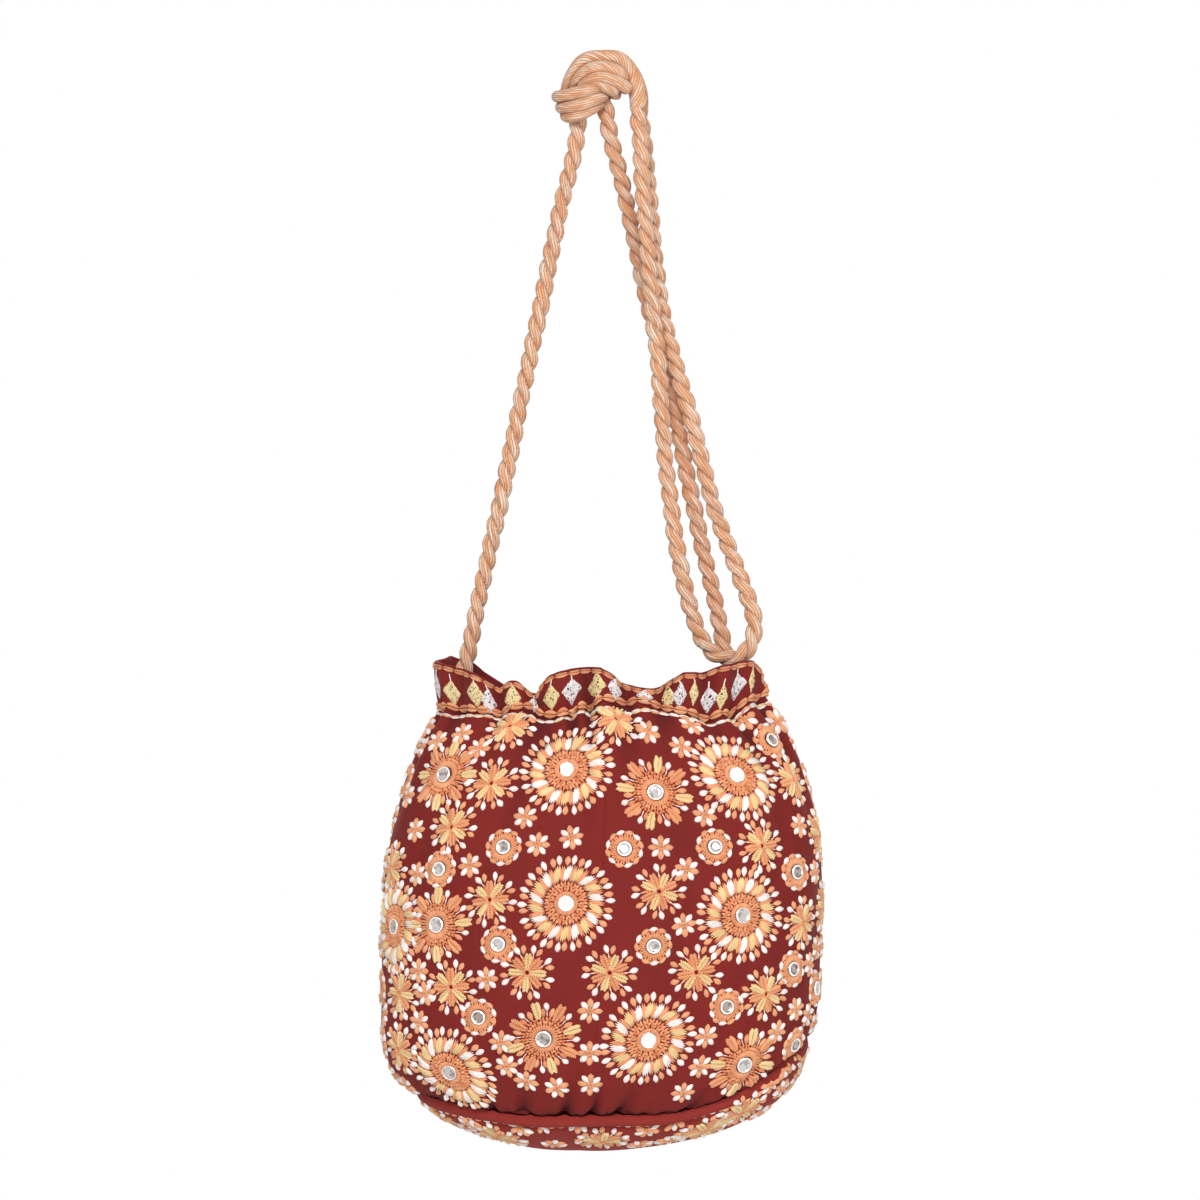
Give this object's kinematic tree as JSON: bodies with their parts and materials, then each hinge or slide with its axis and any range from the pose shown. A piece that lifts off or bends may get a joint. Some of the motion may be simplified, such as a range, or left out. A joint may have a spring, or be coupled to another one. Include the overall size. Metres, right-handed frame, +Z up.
{
  "type": "potli bag",
  "caption": "Gathered cloth drawstring-style bag with a frilled mouth, mirror-work embroidery and a knotted twisted rope strap.",
  "frame": {"origin": "underside of the knot's arch, where a hook or a peg carries the bag", "axes": "+Z up along the strap, +X to the right and -Y towards the viewer, seen from the front"},
  "size_m": [0.2462, 0.1604, 0.6038],
  "materials": {
    "body_cloth": "plain-woven maroon cotton",
    "base_cloth": "plain-woven maroon cotton",
    "frill_cloth": "plain-woven maroon cotton, folded double",
    "lining_cloth": "plain dark maroon cotton",
    "rope": "two-ply twisted rope of variegated peach yarn",
    "orange_thread": "orange cotton embroidery thread",
    "cream_thread": "white, pale yellow and orange embroidery thread",
    "mirror_glass": "small round hand-cut mirrors"
  },
  "bodies": {
    "root": {"outer_body": "body_cloth", "base_panel": "base_cloth", "frill": "frill_cloth", "lining": "lining_cloth", "strap_left_leg": "rope", "strap_right_leg": "rope", "strap_loop": "rope", "strap_knot": "rope", "neck_chain_stitch": "orange_thread", "rim_chain_stitch": "orange_thread", "side_sunburst": "cream_thread", "sunburst_01": "cream_thread", "sunburst_02": "cream_thread", "sunburst_03": "cream_thread", "sunburst_04": "cream_thread", "sunburst_05": "cream_thread", "sunburst_06": "cream_thread", "sunburst_07": "cream_thread", "sunburst_08": "cream_thread", "sunburst_09": "cream_thread", "sunburst_10": "cream_thread", "sunburst_11": "cream_thread", "sunburst_12": "cream_thread", "mirror_flower_01": "cream_thread", "mirror_flower_02": "cream_thread", "mirror_flower_03": "cream_thread", "mirror_flower_04": "cream_thread", "mirror_flower_05": "cream_thread", "mirror_flower_06": "cream_thread", "mirror_flower_07": "cream_thread", "mirror_flower_08": "cream_thread", "mirror_flower_09": "cream_thread", "mirror_flower_10": "cream_thread", "mirror_ring_01": "orange_thread", "mirror_ring_02": "orange_thread", "mirror_ring_03": "orange_thread", "mirror_ring_04": "orange_thread", "mirror_ring_05": "orange_thread", "mirror_ring_06": "orange_thread", "mirror_ring_07": "orange_thread", "mirror_ring_08": "orange_thread", "mirror_ring_09": "orange_thread", "mirror_ring_10": "orange_thread", "mirror_ring_11": "orange_thread", "mirror_ring_12": "orange_thread", "mirror_ring_13": "orange_thread", "mirror_ring_14": "orange_thread", "mirror_ring_15": "orange_thread", "mirror_ring_16": "orange_thread", "mirror_ring_17": "orange_thread", "mirror_ring_18": "orange_thread", "mirror_ring_19": "orange_thread", "mirror_ring_20": "orange_thread", "mirror_ring_21": "orange_thread", "mirror_ring_22": "orange_thread"}
  },
  "joints": []
}
